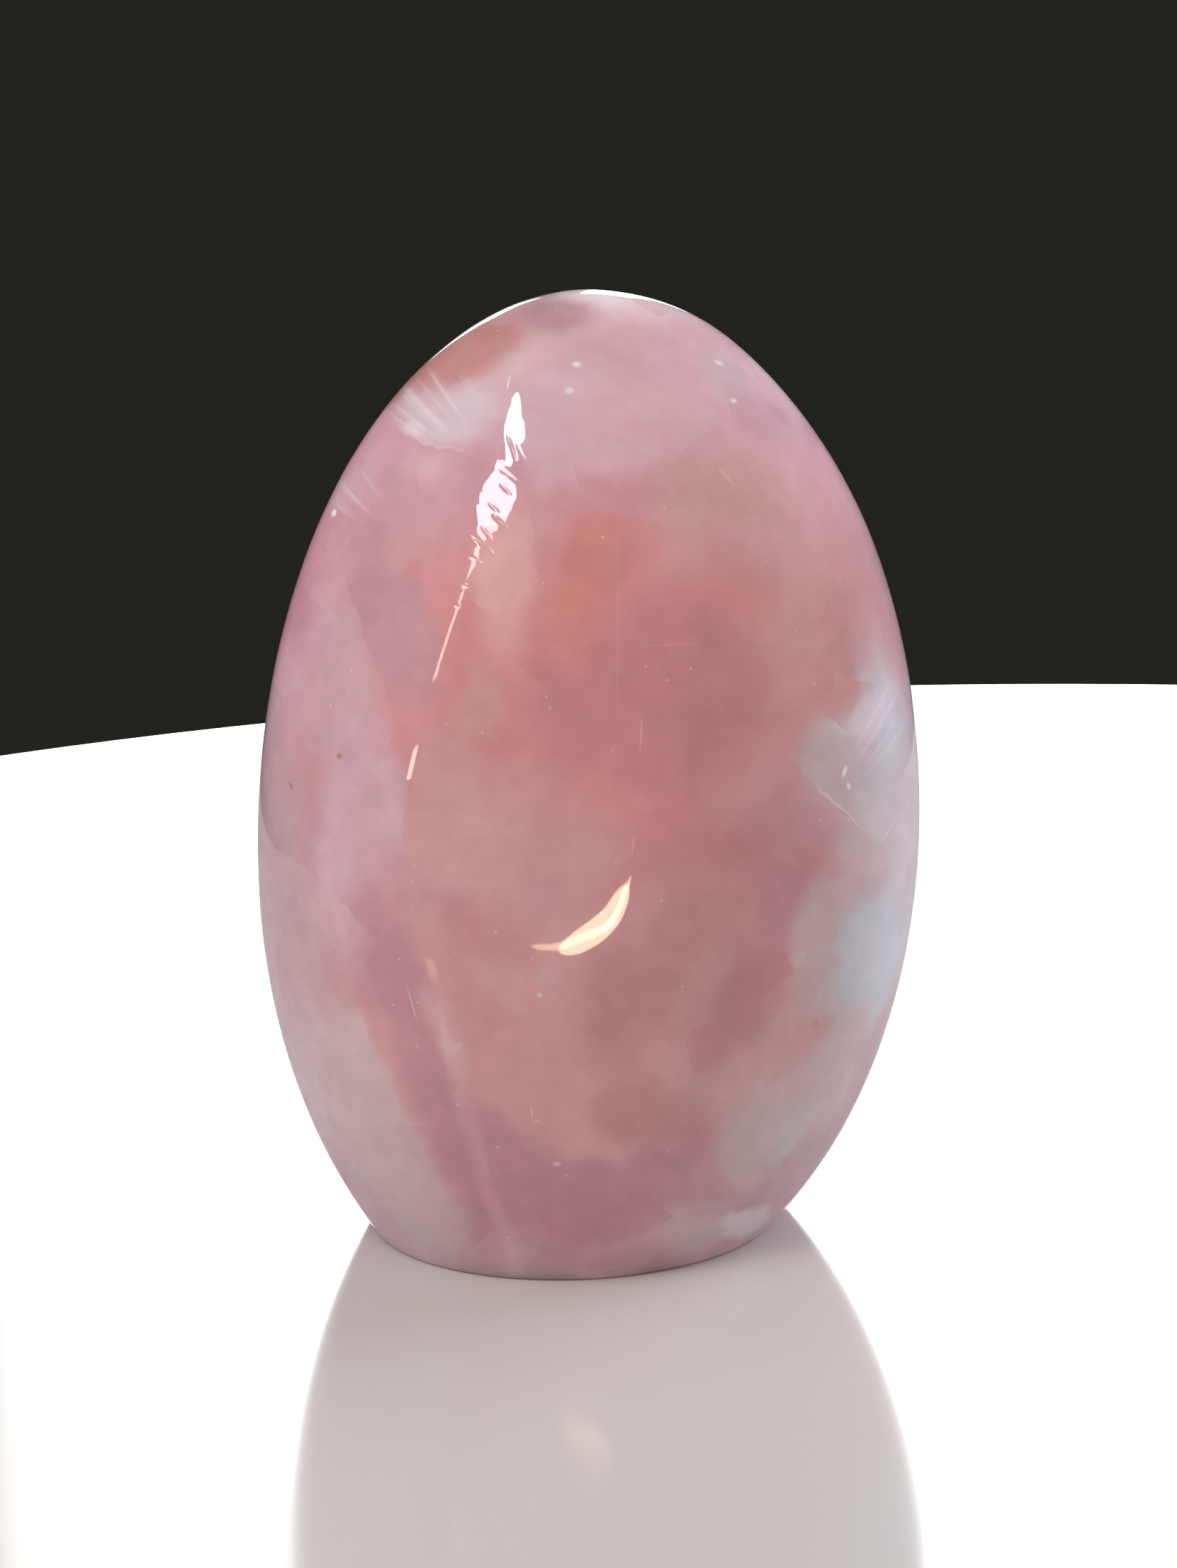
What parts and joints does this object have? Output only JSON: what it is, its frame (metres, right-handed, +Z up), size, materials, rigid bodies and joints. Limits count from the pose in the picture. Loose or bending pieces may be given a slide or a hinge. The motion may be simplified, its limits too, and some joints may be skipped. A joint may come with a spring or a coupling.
{
  "type": "polished rose quartz standing stone",
  "caption": "Hand-polished rose quartz standing stone with an egg outline, soft ground faces and a flat sawn base to stand on.",
  "frame": {"origin": "middle of the stone's box, on the plane of its flat base", "axes": "+Z up through the crown, +X to the right and -Y towards the viewer in the reference view, so +Y runs through the stone's thickness"},
  "size_m": [0.0708, 0.056, 0.1],
  "materials": {
    "rose_quartz": "high polish, translucent"
  },
  "bodies": {
    "root": {"stone": "rose_quartz"}
  },
  "joints": []
}
